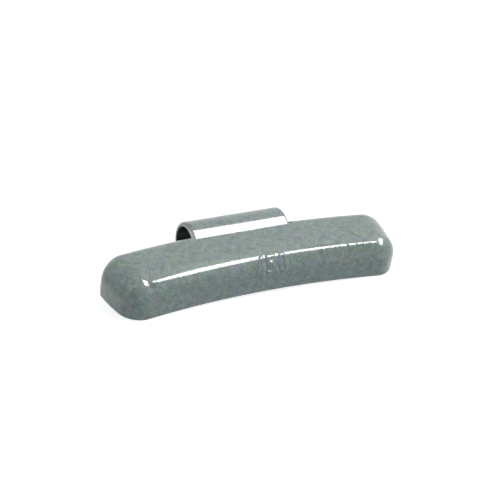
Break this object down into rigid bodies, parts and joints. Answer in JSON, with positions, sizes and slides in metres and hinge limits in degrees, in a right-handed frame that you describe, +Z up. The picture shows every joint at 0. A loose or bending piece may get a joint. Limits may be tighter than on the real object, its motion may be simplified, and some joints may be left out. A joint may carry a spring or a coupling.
{
  "type": "wheel balance weight",
  "caption": "Curved bar weight for balancing a car wheel, cast in zinc alloy round a folded spring-steel clip that hooks over the rim flange, with a grey gloss coat.",
  "frame": {"origin": "centre of the bounding box in plan, on the surface that the weight lies on", "axes": "+X along the bar, parallel to its chord; +Y from the inner edge to the clip, away from the wheel's axle; +Z up, with the outer face on top. The weight lies on two corners of its inner edge and on the tip of the clip, so its rim face slopes by about 15 degrees, up towards the clip."},
  "size_m": [0.0636, 0.0212, 0.0126],
  "materials": {
    "coated_casting": "grey gloss coat over a zinc casting, with a slight orange peel",
    "coated_clip": "the same grey gloss coat over spring steel"
  },
  "bodies": {
    "root": {"weight_body": "coated_casting", "clip": "coated_clip"}
  },
  "joints": []
}
